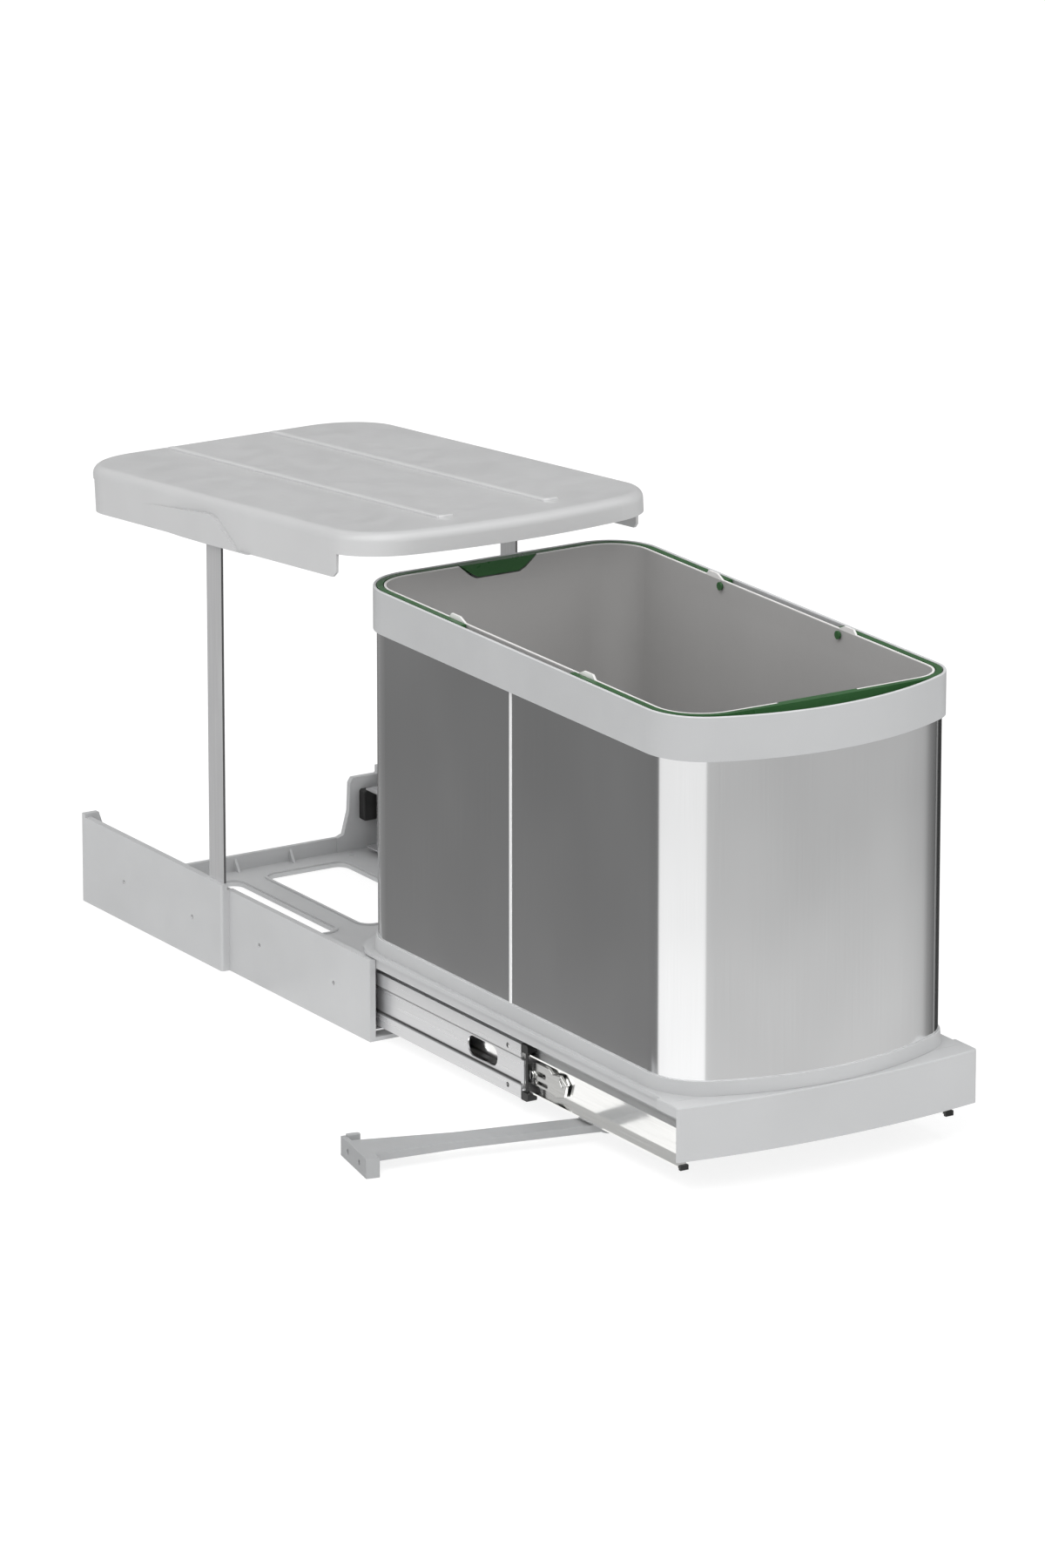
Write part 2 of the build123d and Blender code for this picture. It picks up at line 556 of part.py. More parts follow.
with BuildPart() as bucket:
    # tapered body with a straight rim
    with BuildSketch(Plane.XY.offset(FLANGE_Z[1])):
        add(rim_outline(0))
    with BuildSketch(Plane.XY.offset(BUCKET_BOTTOM)):
        add(rim_outline(BUCKET_TAPER))
    loft()
    with BuildSketch(Plane.XY.offset(FLANGE_Z[1])):
        add(rim_outline(0))
    extrude(amount=BUCKET_TOP - FLANGE_Z[1])
    # flange that rests on the collar's ledge
    ring(bin_outline(COLLAR_WALL + 0.5), rim_outline(1), *FLANGE_Z)
    # hollow
    with BuildSketch(Plane.XY.offset(FLANGE_Z[1])):
        add(rim_outline(RIM_WALL))
    with BuildSketch(Plane.XY.offset(BUCKET_BOTTOM + 2)):
        add(rim_outline(RIM_WALL + BUCKET_TAPER))
    loft(mode=Mode.SUBTRACT)
    with BuildSketch(Plane.XY.offset(FLANGE_Z[1])):
        add(rim_outline(RIM_WALL))
    extrude(amount=BUCKET_TOP - FLANGE_Z[1] + 1, mode=Mode.SUBTRACT)
    # a notch for each grip
    extrude(notch_shape(RIM_REAR + 2, NOTCH_Z, 0), amount=6, mode=Mode.SUBTRACT)
    extrude(notch_shape(RIM_FRONT + 4, NOTCH_Z, 0), amount=6, mode=Mode.SUBTRACT)
    for side in (-1, 1):
        wall_x = (side * RIM_HALF, side * (RIM_HALF - RIM_WALL))
        # raised tab and eye for each handle pin
        for axis_y, lean in ((REAR_AXIS_Y, 1), (FRONT_AXIS_Y, -1)):
            with BuildSketch(Plane.YZ.offset(wall_x[1])):
                with BuildLine():
                    Polyline((axis_y - lean, BUCKET_TOP - 4), (axis_y - lean, BUCKET_TOP),
                             (axis_y + 6 * lean, TAB_TOP), (axis_y + 17 * lean, TAB_TOP),
                             (axis_y + 20 * lean, BUCKET_TOP), (axis_y + 20 * lean, BUCKET_TOP - 4),
                             close=True)
                make_face()
            extrude(amount=side * RIM_WALL)
            rod((side * 112, side * 100), axis_y, HANDLE_AXIS_Z, 2.2, mode=Mode.SUBTRACT)
save(bucket, "bucket")

for name, axis_y, to_rear in (
    ("rear_handle", REAR_AXIS_Y, True),
    ("front_handle", FRONT_AXIS_Y, False),
):
    with BuildPart() as grip_handle:
        ring(rim_outline(-HANDLE_GAP - HANDLE_WIDTH), rim_outline(-HANDLE_GAP), *HANDLE_Z)
        beyond = (-700, axis_y - 4) if to_rear else (axis_y + 4, -100)
        block((-150, 150), beyond, (300, 350), mode=Mode.SUBTRACT)
        # grip hanging in the rim's notch
        grip_y = RIM_REAR + HANDLE_GAP + 1 if to_rear else RIM_FRONT + RIM_WALL
        extrude(notch_shape(grip_y, GRIP_Z, 1.2), amount=RIM_WALL + HANDLE_GAP + 1.5)
        for side in (-1, 1):
            x = RIM_HALF + HANDLE_GAP
            rod((side * (x + 0.3), side * (x - 4.6)), axis_y, HANDLE_AXIS_Z, 2.1)
            rod((side * (x - 3.2), side * (x - 4.6)), axis_y, HANDLE_AXIS_Z, 3.0)
    save(grip_handle, name)

# ---------------------------------------------------------------- lid
LEAN = radians(LID_TILT)
LID_PLANE = Plane(origin=(0, PIVOT_Y, PIVOT_Z), x_dir=(1, 0, 0), z_dir=(0, sin(LEAN), cos(LEAN)))
LID_SIDE = Plane(LID_PLANE.origin, x_dir=LID_PLANE.y_dir, z_dir=(1, 0, 0))
RIB_HEIGHT = 1.8
RIB_WIDTH = 5.4
LUG_X = (119.9, 122.9)
HOOD_HALF = 130.0  # half width over the hoods at the pivots
HOOD_Y = (18.0, 110.0)  # where the hoods start to fade, and where they end


def lid_outline(inset):
    """The lid's plan outline about its pivot, drawn in by inset."""
    return outline(
        LID_HALF - inset, LID_REAR - PIVOT_Y - inset, LID_FRONT - PIVOT_Y + inset,
        LID_BOW - inset, LID_REAR_CORNER - inset, [LID_FRONT_CORNER - inset] * 2,
    )


def at_level(y, z):
    """A point on the level lid's side view, about its pivot."""
    return (y - PIVOT_Y, z - PIVOT_Z)


with BuildPart() as lid:
    with BuildSketch(LID_PLANE.offset(SKIRT_SIDE_Z - PIVOT_Z)):
        add(lid_outline(0))
    extrude(amount=LID_TOP - SKIRT_SIDE_Z)
    lid_up = Axis(LID_PLANE.origin, LID_PLANE.z_dir)
    fillet(lid.faces().sort_by(lid_up)[-1].edges(), LID_ROLL)
    # hoods over the posts, fading into the sides towards the rear
    for side in (-1, 1):
        with BuildPart(mode=Mode.PRIVATE) as hood:
            with BuildSketch(LID_SIDE.offset(side * (LID_HALF - 1))):
                with BuildLine():
                    Polyline(at_level(HOOD_Y[1], 321), at_level(HOOD_Y[1], 337), at_level(18, 342.3),
                             at_level(6.7, 342.4), at_level(-1, 340), at_level(-28, 320.4),
                             at_level(-45, 320), at_level(52, 320), close=True)
                make_face()
            extrude(amount=side * (HOOD_HALF - LID_HALF + 1))
            with BuildSketch(LID_PLANE.offset(-15)):
                with BuildLine():
                    Polyline((side * (LID_HALF - 1.5), -70), (side * HOOD_HALF, -70),
                             (side * HOOD_HALF, HOOD_Y[0] - PIVOT_Y),
                             (side * LID_HALF, HOOD_Y[1] - PIVOT_Y),
                             (side * (LID_HALF - 1.5), HOOD_Y[1] - PIVOT_Y), close=True)
                make_face()
            extrude(amount=40, mode=Mode.INTERSECT)
        add(hood.part)
    # hollow below, with the inner roll
    with BuildSketch(LID_PLANE.offset(SKIRT_SIDE_Z - PIVOT_Z - 1)):
        add(lid_outline(LID_WALL))
    extrude(amount=LID_TOP - LID_ROLL - SKIRT_SIDE_Z + 1, mode=Mode.SUBTRACT)
    with BuildSketch(LID_PLANE.offset(LID_TOP - LID_ROLL - PIVOT_Z)):
        add(lid_outline(LID_WALL))
    extrude(amount=LID_ROLL - LID_WALL, taper=30, mode=Mode.SUBTRACT)
    # room for each post inside its hood
    for side in (-1, 1):
        with BuildSketch(LID_SIDE.offset(side * (POST_X[0] - 0.3))):
            with BuildLine():
                Polyline(at_level(-4, 318), at_level(-4, 337), at_level(0, 340.6),
                         at_level(19, 340.6), at_level(23.5, 337), at_level(23.5, 318), close=True)
            make_face()
        extrude(amount=side * (POST_X[1] - POST_X[0] + 1.1), mode=Mode.SUBTRACT)
        # lug for the pivot pin
        with BuildSketch(LID_SIDE.offset(side * LUG_X[0])) as lug:
            with BuildLine():
                Polyline((-9, 21.5), (-9, 0), (9, 0), (9, 21.5), close=True)
            make_face()
            Circle(9)
            Circle(PIVOT_R + 0.06, mode=Mode.SUBTRACT)
        extrude(amount=side * (LUG_X[1] - LUG_X[0]))
    # the front skirt is cut shorter than the sides, which end in tabs
    with BuildSketch(LID_SIDE):
        with BuildLine():
            Polyline(at_level(-300, 300), at_level(-300, SKIRT_FRONT_Z),
                     at_level(TAB_FRONT_Y - 1.3, SKIRT_FRONT_Z),
                     at_level(TAB_FRONT_Y, SKIRT_SIDE_Z + TAB_CHAMFER),
                     at_level(TAB_FRONT_Y + TAB_CHAMFER + 1, SKIRT_SIDE_Z),
                     at_level(TAB_FRONT_Y + TAB_CHAMFER + 1, 300), close=True)
        make_face()
    extrude(amount=150, both=True, mode=Mode.SUBTRACT)
    # the rear skirt is cut shorter still
    with BuildSketch(LID_SIDE):
        with BuildLine():
            Polyline(at_level(SKIRT_REAR_Y, 300), at_level(SKIRT_REAR_Y, SKIRT_REAR_Z),
                     at_level(240, SKIRT_REAR_Z), at_level(240, 300), close=True)
        make_face()
    extrude(amount=150, both=True, mode=Mode.SUBTRACT)
    # two long shallow ribs on the top, flared at the front
    with BuildSketch(LID_PLANE.offset(LID_TOP - PIVOT_Z - 0.5)):
        for rib_x in (-47.0, 41.0):
            with Locations((rib_x, 5)):
                Rectangle(RIB_WIDTH, 385)
            with Locations((rib_x + 4, -186)):
                Rectangle(12, RIB_WIDTH)
    extrude(amount=RIB_HEIGHT + 0.5)
    fillet(lid.faces().group_by(lid_up)[-1].edges(), 0.8 * RIB_HEIGHT)
save(lid, "lid")

# torsion springs round the pivot pins, drawn as their coil and two legs
for side, hand in ((-1, "left"), (1, "right")):
    with BuildPart() as lid_spring:
        rod((side * (POST_X[0] - 0.1), side * (LUG_X[1] + 0.1)), PIVOT_Y, PIVOT_Z, 5.2)
        rod((side * POST_X[0], side * LUG_X[1]), PIVOT_Y, PIVOT_Z, PIVOT_R + 0.3,
            mode=Mode.SUBTRACT)
    save(lid_spring, f"{hand}_lid_spring")

# ---------------------------------------------------------------- door link
# guide under the tray: a channel across it, and the slider that runs in it
with BuildPart() as arm_guide:
    block((-101, 24), (ARM_PIN[1] - 11.5, ARM_PIN[1] + 11.5), (21.2, 24.0))
    block((-101, 24), (ARM_PIN[1] - 11.5, ARM_PIN[1] - 9.5), (15.2, 21.4))
    block((-101, 24), (ARM_PIN[1] + 9.5, ARM_PIN[1] + 11.5), (15.2, 21.4))
    block((-101, 24), (ARM_PIN[1] - 11.5, ARM_PIN[1] - 6.5), (14.2, 15.4))
    block((-101, 24), (ARM_PIN[1] + 6.5, ARM_PIN[1] + 11.5), (14.2, 15.4))
save(arm_guide, "arm_guide")

with BuildPart() as arm_slider:
    block((ARM_PIN[0] - 8, ARM_PIN[0] + 8), (ARM_PIN[1] - 9.0, ARM_PIN[1] + 9.0), (15.8, 20.9))
    with Locations((ARM_PIN[0], ARM_PIN[1], 11.6)):
        Cylinder(3.0, 9.6)
    with Locations((ARM_PIN[0], ARM_PIN[1], 6.0)):
        Cylinder(6.0, 2.0)
save(arm_slider, "arm_slider")

ARM_PLANE = Plane(origin=(ARM_PIN[0], ARM_PIN[1], 0),
                  x_dir=(cos(radians(ARM_ANGLE)), sin(radians(ARM_ANGLE)), 0), z_dir=(0, 0, 1))
with BuildPart() as link_arm:
    # tapered flat bar, wide at the door plate
    with BuildSketch(ARM_PLANE.offset(ARM_Z[0])):
        with BuildLine():
            Polyline((0, -9), (110, -9.5), (ARM_LENGTH, -17), (ARM_LENGTH, 17), (110, 10), (0, 9),
                     close=True)
        make_face()
        Circle(9)
        Circle(3.06, mode=Mode.SUBTRACT)
    extrude(amount=ARM_Z[1] - ARM_Z[0])
    # door plate with its end block and its rounded lug
    with BuildSketch(ARM_PLANE):
        with BuildLine():
            Polyline((ARM_LENGTH, -27), (ARM_LENGTH + 4, -27), (ARM_LENGTH + 4, 27),
                     (ARM_LENGTH - 6, 27), (ARM_LENGTH - 6, 15), (ARM_LENGTH, 15), close=True)
        make_face()
    extrude(amount=PLATE_HEIGHT)
    with BuildSketch(ARM_PLANE):
        with Locations((ARM_LENGTH - 4, -24)):
            RectangleRounded(10, 5, 2)
    extrude(amount=PLATE_HEIGHT + 1.5)
    for hole_y in (-DOOR_HOLE_Y, DOOR_HOLE_Y):
        with Locations(ARM_PLANE * Location((ARM_LENGTH + 2, hole_y, DOOR_HOLE_Z), (0, 90, 0))):
            Cylinder(2.0, 12, mode=Mode.SUBTRACT)
save(link_arm, "link_arm")
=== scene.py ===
"""Looks of the pull-out cabinet waste bin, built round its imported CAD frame.

Metres, in the row frame: X across the cabinet, -Y towards the door, Z up from the cabinet floor.
"""

import math

import bpy
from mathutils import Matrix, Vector

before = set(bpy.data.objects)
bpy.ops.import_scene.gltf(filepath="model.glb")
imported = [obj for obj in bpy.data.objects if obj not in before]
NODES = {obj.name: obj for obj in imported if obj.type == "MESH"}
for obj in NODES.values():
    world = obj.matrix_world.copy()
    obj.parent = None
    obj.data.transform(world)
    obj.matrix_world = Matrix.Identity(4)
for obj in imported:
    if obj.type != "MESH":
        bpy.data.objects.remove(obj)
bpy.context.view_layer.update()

# camera, from the photograph's own perspective
CAMERA_AT = Vector((-3.4855, -5.8011, 2.1427))
CAMERA_TURN = math.radians(31.94)  # towards +X from straight along +Y
CAMERA_DROP = math.radians(16.63)
CAMERA_LENS = 221.0

FLOOR_HALF = 30.0
GLOW_X = (-0.215, 0.10)  # the patch of table that polished metal mirrors
GLOW_Y = (-0.66, -0.06)

# heights and places on the object where painted highlights and painted shade lie
COLLAR_RIM_Z = 0.3329
BUCKET_RIM_Z = 0.3325
RIB_XS = (-0.047, 0.041)
RIB_FRONT_Y = -0.188
CREASE_ZS = (0.0211, 0.0399)

# the studio as polished metal sees it: degrees from -Y towards +X, and brightness
STUDIO_WALLS = (
    (-180, 0.30), (-150, 0.20), (-121, 0.185), (-118, 0.98), (-100, 1.0), (-29, 1.0), (-27, 0.58),
    (20, 0.55), (66, 0.55), (80, 0.50), (86, 0.05), (90, 0.04), (92, 0.40), (97, 0.40), (99, 0.03),
    (150, 0.10), (180, 0.30),
)
SKY = 0.92  # brightness of everything round the stage for soft light


# ---------------------------------------------------------------- stage
def add_camera():
    """The photograph's view: a long lens from the front left, looking slightly down."""
    data = bpy.data.cameras.new("camera")
    data.lens = CAMERA_LENS
    data.sensor_width = 36.0
    data.clip_end = 90.0
    camera = bpy.data.objects.new("camera", data)
    camera.location = CAMERA_AT
    camera.rotation_euler = (math.pi / 2 - CAMERA_DROP, 0.0, -CAMERA_TURN)
    bpy.context.scene.collection.objects.link(camera)
    bpy.context.scene.camera = camera
    bpy.context.scene.view_settings.view_transform = "Standard"


def add_floor():
    """A white lit table under everything, where shadows stay faint and metal isn't mirrored."""
    mesh = bpy.data.meshes.new("floor")
    corners = [(x * FLOOR_HALF, y * FLOOR_HALF, -0.0005) for x, y in ((-1, -1), (1, -1), (1, 1), (-1, 1))]
    mesh.from_pydata(corners, [], [(0, 1, 2, 3)])
    floor = bpy.data.objects.new("floor", mesh)
    bpy.context.scene.collection.objects.link(floor)
    white = plain("floor", (0.30, 0.30, 0.30), 1.0)
    glow = white.node_tree.nodes["Principled BSDF"].inputs
    glow["Emission Color"].default_value = (1.0, 1.0, 1.0, 1.0)
    glow["Emission Strength"].default_value = 0.76
    floor.data.materials.append(white)
    floor.visible_glossy = False


def add_table_glow():
    """The lit table close under the object, seen only in polished metal."""
    mesh = bpy.data.meshes.new("table_glow")
    corners = [(GLOW_X[i], GLOW_Y[j], 0) for i, j in ((0, 0), (1, 0), (1, 1), (0, 1))]
    mesh.from_pydata(corners, [], [(0, 1, 2, 3)])
    table = bpy.data.objects.new("table_glow", mesh)
    table.location = (0, 0, -0.0004)
    bpy.context.scene.collection.objects.link(table)
    white = plain("table_glow", (0.0, 0.0, 0.0), 1.0)
    glow = white.node_tree.nodes["Principled BSDF"].inputs
    glow["Emission Color"].default_value = (1.0, 1.0, 0.99, 1.0)
    glow["Emission Strength"].default_value = 0.95
    table.data.materials.append(white)
    table.visible_camera = table.visible_diffuse = table.visible_shadow = False
    table.visible_transmission = False


def add_light(name, place, target, size, power):
    """A soft rectangular light aimed at a point, not mirrored in metal."""
    data = bpy.data.lights.new(name, "AREA")
    data.shape = "RECTANGLE"
    data.size, data.size_y = size
    data.energy = power
    light = bpy.data.objects.new(name, data)
    light.location = place
    aim = Vector(target) - Vector(place)
    light.rotation_euler = aim.to_track_quat("-Z", "Y").to_euler()
    light.visible_glossy = False
    bpy.context.scene.collection.objects.link(light)


def add_studio():
    """Even pale light, two soft lights from the front, and walls for the metal to mirror."""
    world = bpy.data.worlds.new("studio")
    bpy.context.scene.world = world
    world.use_nodes = True
    nodes, links = world.node_tree.nodes, world.node_tree.links
    place = nodes.new("ShaderNodeTexCoord")
    split = nodes.new("ShaderNodeSeparateXYZ")
    links.new(place.outputs["Generated"], split.inputs["Vector"])
    back = nodes.new("ShaderNodeMath")
    back.operation = "MULTIPLY"
    back.inputs[1].default_value = -1.0
    links.new(split.outputs["Y"], back.inputs[0])
    angle = nodes.new("ShaderNodeMath")
    angle.operation = "ARCTAN2"
    links.new(split.outputs["X"], angle.inputs[0])
    links.new(back.outputs[0], angle.inputs[1])
    turn = nodes.new("ShaderNodeMapRange")
    turn.inputs["From Min"].default_value = -math.pi
    turn.inputs["From Max"].default_value = math.pi
    links.new(angle.outputs[0], turn.inputs["Value"])
    ramp = nodes.new("ShaderNodeValToRGB")
    stops = ramp.color_ramp.elements
    for degrees, level in STUDIO_WALLS[1:-1]:
        stops.new((degrees + 180) / 360).color = (level, level, level, 1.0)
    stops[0].color = stops[len(stops) - 1].color = (*[STUDIO_WALLS[0][1]] * 3, 1.0)
    links.new(turn.outputs["Result"], ramp.inputs["Fac"])
    # overhead lamps
    height = nodes.new("ShaderNodeMapRange")
    height.inputs["From Min"].default_value = 0.1
    height.inputs["From Max"].default_value = 0.8
    height.inputs["To Min"].default_value = 1.0
    height.inputs["To Max"].default_value = 5.0
    links.new(split.outputs["Z"], height.inputs["Value"])
    walls = nodes["Background"]
    links.new(ramp.outputs["Color"], walls.inputs["Color"])
    links.new(height.outputs["Result"], walls.inputs["Strength"])
    soft = nodes.new("ShaderNodeBackground")
    soft.inputs["Color"].default_value = (1.0, 1.0, 1.0, 1.0)
    soft.inputs["Strength"].default_value = SKY
    path = nodes.new("ShaderNodeLightPath")
    mix = nodes.new("ShaderNodeMixShader")
    links.new(path.outputs["Is Glossy Ray"], mix.inputs["Fac"])
    links.new(soft.outputs[0], mix.inputs[1])
    links.new(walls.outputs[0], mix.inputs[2])
    links.new(mix.outputs[0], nodes["World Output"].inputs["Surface"])
    add_light("key", (-1.8, -2.4, 3.2), (0, -0.2, 0.2), (1.8, 1.8), 42)
    add_light("front", (1.4, -3.6, 1.4), (0, -0.6, 0.2), (1.6, 1.6), 12)


# ---------------------------------------------------------------- materials
def plain(name, colour, roughness):
    """A material of one colour, for the stage."""
    made = bpy.data.materials.new(name)
    made.use_nodes = True
    shader = made.node_tree.nodes["Principled BSDF"]
    shader.inputs["Base Color"].default_value = (*colour, 1.0)
    shader.inputs["Roughness"].default_value = roughness
    return made


class Surface:
    """Builds one procedural material, with its patterns in the row frame's metres."""

    def __init__(self, name, metallic=0.0, specular=0.5):
        self.material = bpy.data.materials.new(name)
        self.material.use_nodes = True
        self.tree = self.material.node_tree
        self.shader = self.tree.nodes["Principled BSDF"]
        self.shader.inputs["Metallic"].default_value = metallic
        self.shader.inputs["Specular IOR Level"].default_value = specular
        self.place = self.tree.nodes.new("ShaderNodeTexCoord").outputs["Object"]
        self.height = None

    def noise(self, stretch, detail=3.0, seed=0.0):
        """Noise whose cells are 1/stretch metres on each axis."""
        mapping = self.tree.nodes.new("ShaderNodeMapping")
        mapping.inputs["Scale"].default_value = stretch
        mapping.inputs["Location"].default_value = (seed, seed, seed)
        self.tree.links.new(self.place, mapping.inputs["Vector"])
        noise = self.tree.nodes.new("ShaderNodeTexNoise")
        noise.inputs["Scale"].default_value = 1.0
        noise.inputs["Detail"].default_value = detail
        self.tree.links.new(mapping.outputs["Vector"], noise.inputs["Vector"])
        return noise.outputs["Fac"]

    def spread(self, fac, low, high):
        """Map noise from its usual span to low...high."""
        node = self.tree.nodes.new("ShaderNodeMapRange")
        node.inputs["From Min"].default_value = 0.3
        node.inputs["From Max"].default_value = 0.7
        node.inputs["To Min"].default_value = low
        node.inputs["To Max"].default_value = high
        self.tree.links.new(fac, node.inputs["Value"])
        return node.outputs["Result"]

    def colour(self, dark, light, fac):
        """Blend two colours by noise."""
        ramp = self.tree.nodes.new("ShaderNodeValToRGB")
        ramp.color_ramp.elements[0].position = 0.3
        ramp.color_ramp.elements[1].position = 0.7
        ramp.color_ramp.elements[0].color = (*dark, 1.0)
        ramp.color_ramp.elements[1].color = (*light, 1.0)
        self.tree.links.new(fac, ramp.inputs["Fac"])
        self.paint = ramp.outputs["Color"]
        self.tree.links.new(self.paint, self.shader.inputs["Base Color"])

    def tint(self, factor):
        """Multiply the colour by a brightness."""
        node = self.tree.nodes.new("ShaderNodeVectorMath")
        node.operation = "SCALE"
        self.tree.links.new(self.paint, node.inputs[0])
        self.tree.links.new(factor, node.inputs["Scale"])
        self.paint = node.outputs["Vector"]
        self.tree.links.new(self.paint, self.shader.inputs["Base Color"])

    def along(self, axis, start, end, low, high):
        """A smooth change from low to high between two places along an axis."""
        split = self.tree.nodes.new("ShaderNodeSeparateXYZ")
        self.tree.links.new(self.place, split.inputs["Vector"])
        node = self.tree.nodes.new("ShaderNodeMapRange")
        node.interpolation_type = "SMOOTHSTEP"
        node.inputs["From Min"].default_value = start
        node.inputs["From Max"].default_value = end
        node.inputs["To Min"].default_value = low
        node.inputs["To Max"].default_value = high
        self.tree.links.new(split.outputs[axis], node.inputs["Value"])
        return node.outputs["Result"]

    def ridge(self, axis, centre, inner, outer, gain):
        """This gain in a band round a place along an axis, 1 elsewhere."""
        split = self.tree.nodes.new("ShaderNodeSeparateXYZ")
        self.tree.links.new(self.place, split.inputs["Vector"])
        away = self.tree.nodes.new("ShaderNodeMath")
        away.operation = "SUBTRACT"
        away.inputs[1].default_value = centre
        self.tree.links.new(split.outputs[axis], away.inputs[0])
        size = self.tree.nodes.new("ShaderNodeMath")
        size.operation = "ABSOLUTE"
        self.tree.links.new(away.outputs[0], size.inputs[0])
        node = self.tree.nodes.new("ShaderNodeMapRange")
        node.inputs["From Min"].default_value = inner
        node.inputs["From Max"].default_value = outer
        node.inputs["To Min"].default_value = gain
        node.inputs["To Max"].default_value = 1.0
        self.tree.links.new(size.outputs[0], node.inputs["Value"])
        return node.outputs["Result"]

    def masked(self, factor, mask):
        """The factor where the mask is 1, and 1 where the mask is 0."""
        node = self.tree.nodes.new("ShaderNodeMath")
        node.operation = "POWER"
        self.tree.links.new(factor, node.inputs[0])
        self.tree.links.new(mask, node.inputs[1])
        return node.outputs[0]

    def facing(self, axis, low, high):
        """Low where the surface faces against this axis, high elsewhere."""
        split = self.tree.nodes.new("ShaderNodeSeparateXYZ")
        normal = self.tree.nodes.new("ShaderNodeTexCoord").outputs["Normal"]
        self.tree.links.new(normal, split.inputs["Vector"])
        node = self.tree.nodes.new("ShaderNodeMapRange")
        node.inputs["From Min"].default_value = -0.9
        node.inputs["From Max"].default_value = -0.6
        node.inputs["To Min"].default_value = low
        node.inputs["To Max"].default_value = high
        self.tree.links.new(split.outputs[axis], node.inputs["Value"])
        return node.outputs["Result"]

    def roughness(self, fac, low, high):
        """Vary the roughness by noise."""
        self.tree.links.new(self.spread(fac, low, high), self.shader.inputs["Roughness"])

    def bump(self, fac, depth):
        """Add fine relief of about this depth in metres."""
        bump = self.tree.nodes.new("ShaderNodeBump")
        bump.inputs["Strength"].default_value = 1.0
        bump.inputs["Distance"].default_value = depth
        self.tree.links.new(fac, bump.inputs["Height"])
        if self.height is not None:
            self.tree.links.new(self.height, bump.inputs["Normal"])
        self.height = bump.outputs["Normal"]
        self.tree.links.new(self.height, self.shader.inputs["Normal"])


def shade(colour, factor):
    """The colour made lighter or darker."""
    return tuple(min(1.0, part * factor) for part in colour)


def moulded(name, colour, roughness=(0.42, 0.55), grain=2200.0, depth=0.00003, variation=0.03,
            painted_rim_highlight=None):
    """Moulded plastic: fine grain, slight clouding, and optionally a painted highlight that makes it
    lighter above a given height.
    """
    made = Surface(name)
    cloud = made.noise((9.0, 9.0, 9.0), 4.0)
    made.colour(shade(colour, 1 - variation), shade(colour, 1 + variation), cloud)
    if painted_rim_highlight:
        height, gain = painted_rim_highlight
        # painted highlight: the colour is lighter above the given height
        made.tint(made.along("Z", height - 0.0003, height + 0.0003, 1.0, gain))
    made.roughness(made.noise((60.0, 60.0, 60.0), 2.0, 3.0), *roughness)
    made.bump(made.noise((grain, grain, grain), 2.0), depth)
    return made.material


def brushed(name, colour, stretch, roughness=(0.28, 0.42), depth=0.000012, variation=0.10,
            metallic=1.0):
    """Metal with fine lines along the axis whose stretch is small."""
    made = Surface(name, metallic=metallic)
    lines = made.noise(stretch, 6.0)
    made.colour(shade(colour, 1 - variation), shade(colour, 1 + variation), lines)
    made.roughness(made.noise(tuple(0.4 * part for part in stretch), 4.0, 7.0), *roughness)
    made.bump(lines, depth)
    return made.material


def rolled_steel():
    """The bin's shell: vertical brushing, a painted reflection of the pale table making it brighter low
    down, and slow changes across the sheet.
    """
    made = Surface("steel_sheet", metallic=1.0)
    lines = made.noise((2600.0, 2600.0, 12.0), 6.0)
    made.colour((0.912, 0.915, 0.918), (0.942, 0.945, 0.948), lines)
    # painted reflection: colour brighter towards the bottom, standing in for the pale table mirrored
    # there
    made.tint(made.along("Z", 0.28, 0.08, 0.86, 1.02))
    made.tint(made.spread(made.noise((7.0, 7.0, 5.0), 2.0, 0.4), 0.90, 1.06))
    made.roughness(made.noise((2600.0, 2600.0, 8.0), 4.0, 7.0), 0.11, 0.14)
    made.bump(lines, 0.0000018)
    return made.material


def banded_zinc():
    """The middle rail: zinc with painted shade, a dark line in the crease beside each raised band."""
    made = Surface("banded_zinc", metallic=0.8)
    lines = made.noise((2600.0, 14.0, 2600.0), 4.0)
    made.colour((0.62, 0.62, 0.63), (0.66, 0.66, 0.67), lines)
    # painted shade: darker lines in the creases beside the raised bands
    for crease_z in CREASE_ZS:
        made.tint(made.ridge("Z", crease_z, 0.0004, 0.0013, 0.30))
    made.roughness(made.noise((300.0, 8.0, 300.0), 3.0, 7.0), 0.26, 0.31)
    made.bump(lines, 0.000001)
    return made.material


def lid_plastic():
    """The lid's moulded plastic, with a painted highlight along its two ribs."""
    made = Surface("lid_plastic")
    cloud = made.noise((9.0, 9.0, 9.0), 4.0)
    made.colour((0.515, 0.517, 0.52), (0.545, 0.547, 0.55), cloud)
    # painted highlight along each rib on the lid's top, from the rib front backwards
    on_top = made.along("Y", RIB_FRONT_Y, RIB_FRONT_Y + 0.004, 0.0, 1.0)
    for rib_x in RIB_XS:
        made.tint(made.masked(made.ridge("X", rib_x, 0.0016, 0.0034, 1.13), on_top))
    made.roughness(made.noise((60.0, 60.0, 60.0), 2.0, 3.0), 0.34, 0.44)
    made.bump(made.noise((2200.0, 2200.0, 2200.0), 2.0), 0.00003)
    return made.material


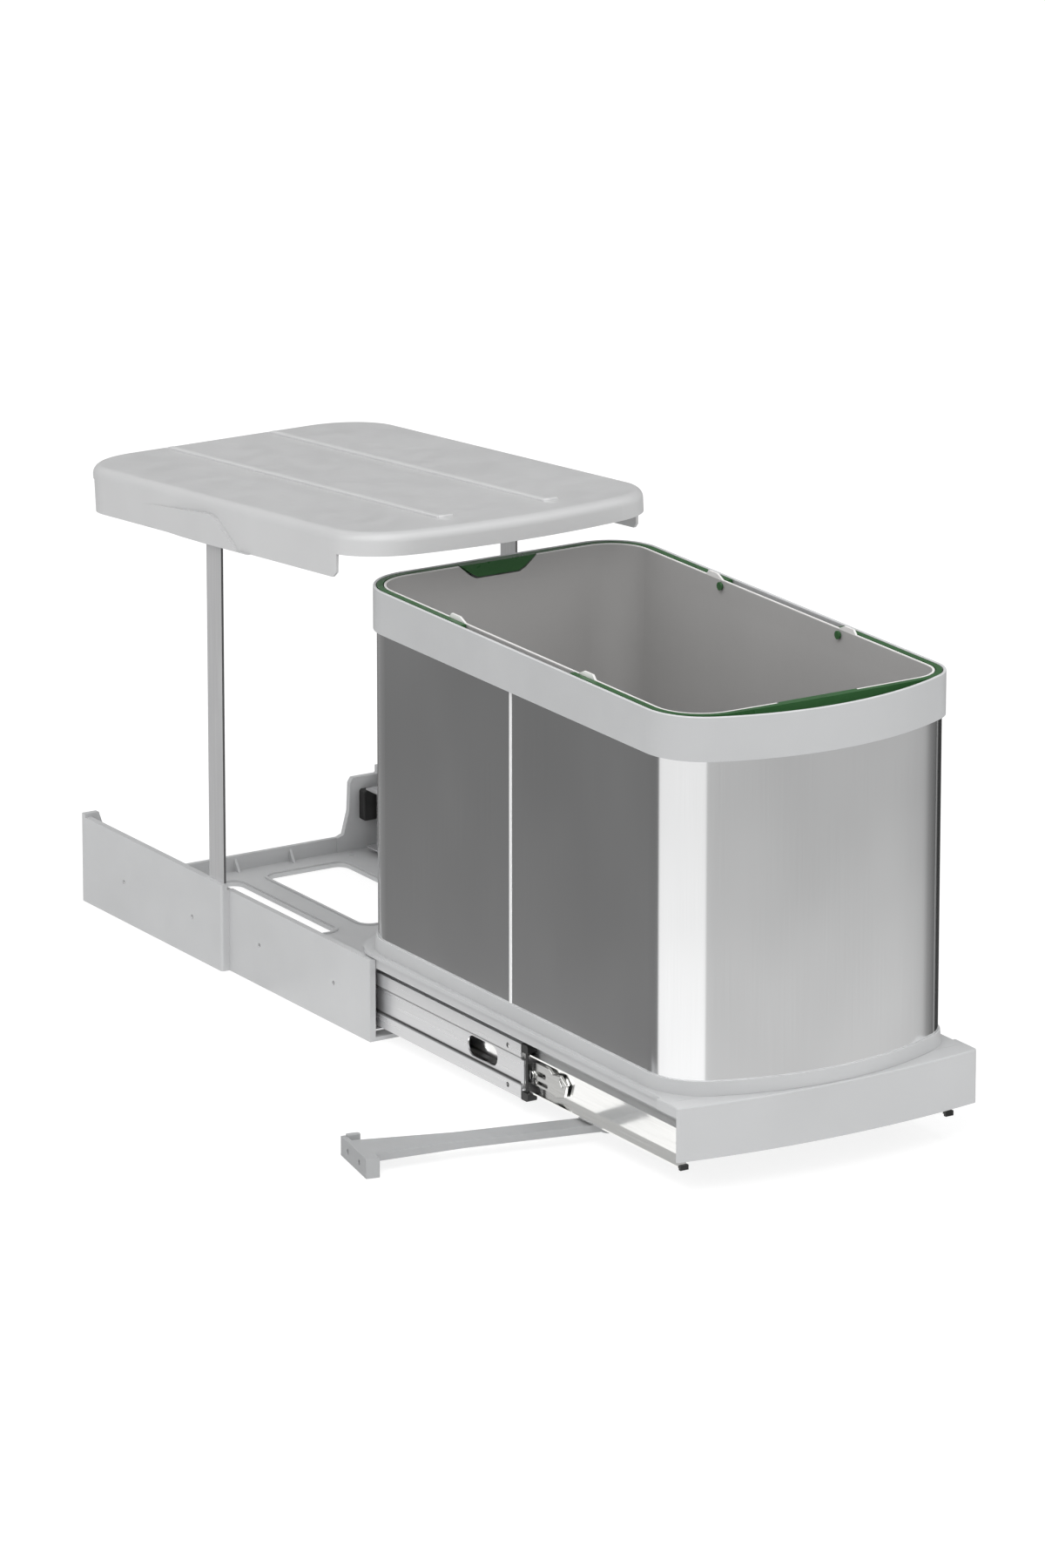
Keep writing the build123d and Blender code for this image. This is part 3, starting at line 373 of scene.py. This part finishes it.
def strip_metal(name, colour, front_painted_shade):
    """Cut strip with painted shade on its faces towards -Y, standing in for a dark reflection there."""
    made = Surface(name, metallic=0.45)
    lines = made.noise((500.0, 500.0, 15.0), 4.0)
    made.colour(shade(colour, 0.96), shade(colour, 1.04), lines)
    # painted shade: faces towards -Y are darker
    made.tint(made.facing("Y", front_painted_shade, 1.0))
    made.roughness(made.noise((90.0, 90.0, 20.0), 3.0, 5.0), 0.3, 0.4)
    made.bump(lines, 0.000008)
    return made.material


def assign(material, *names):
    """Give CAD nodes this material."""
    for name in names:
        for slot in NODES[name].material_slots:
            slot.material = material


def both(name):
    """The left and the right node of a pair."""
    return f"left_{name}", f"right_{name}"


def finish_nodes():
    """Every CAD node gets its surface, a few with painted highlights and painted shade."""
    assign(moulded("frame_plastic", (0.495, 0.50, 0.505)), "base_frame")
    assign(moulded("tray_plastic", (0.465, 0.47, 0.475)), "tray", "front_panel")
    # painted highlight along the collar's top
    assign(moulded("collar_plastic", (0.435, 0.44, 0.445), painted_rim_highlight=(COLLAR_RIM_Z, 1.35)), "collar")
    assign(lid_plastic(), "lid")
    assign(moulded("arm_plastic", (0.345, 0.35, 0.355)), "link_arm", "arm_slider")
    # painted highlight along the bucket's top
    assign(moulded("bucket_plastic", (0.42, 0.415, 0.41), (0.5, 0.65), painted_rim_highlight=(BUCKET_RIM_Z, 1.9)), "bucket")
    assign(moulded("green_plastic", (0.024, 0.10, 0.027), (0.25, 0.4), 1500.0, 0.00001),
           "front_handle", "rear_handle")
    assign(moulded("black_plastic", (0.006, 0.006, 0.006), (0.35, 0.5)),
           "rail_bumpers", *both("end_guide"))
    assign(moulded("rubber", (0.008, 0.008, 0.008), (0.6, 0.8)), "rear_buffer")
    assign(rolled_steel(), "steel_shell")
    assign(brushed("strip_steel", (0.85, 0.85, 0.85), (2600.0, 2600.0, 12.0), metallic=0.2),
           "seam_strip")
    zinc = brushed("zinc_steel", (0.66, 0.66, 0.67), (2600.0, 14.0, 2600.0), (0.26, 0.31),
                   0.000001, 0.03, metallic=0.8)
    assign(zinc, *both("outer_rail"), "arm_guide", *both("outer_ball_cage"),
           *both("inner_ball_cage"))
    assign(banded_zinc(), *both("middle_rail"))
    bright = brushed("bright_steel", (0.95, 0.95, 0.94), (300.0, 15.0, 700.0), (0.10, 0.16),
                     0.000002, 0.04)
    assign(bright, *both("inner_rail"))
    stamped = brushed("stamped_steel", (0.50, 0.50, 0.49), (900.0, 60.0, 900.0), (0.2, 0.28),
                      0.000001, 0.05)
    assign(stamped, *both("release_lever"))
    polished = brushed("polished_steel", (0.74, 0.74, 0.73), (300.0, 20.0, 700.0), (0.12, 0.2),
                       0.000001, 0.05)
    assign(polished, *both("lever_pin"),
           *both("lid_pin"), *both("lid_spring"), *both("outer_balls"), *both("inner_balls"),
           "post_screws", "rail_screws", "inner_rail_screws")
    # painted shade on the posts' faces towards -Y
    assign(strip_metal("post_steel", (0.60, 0.60, 0.605), 0.22), *both("post"))


add_camera()
add_floor()
add_table_glow()
add_studio()
finish_nodes()
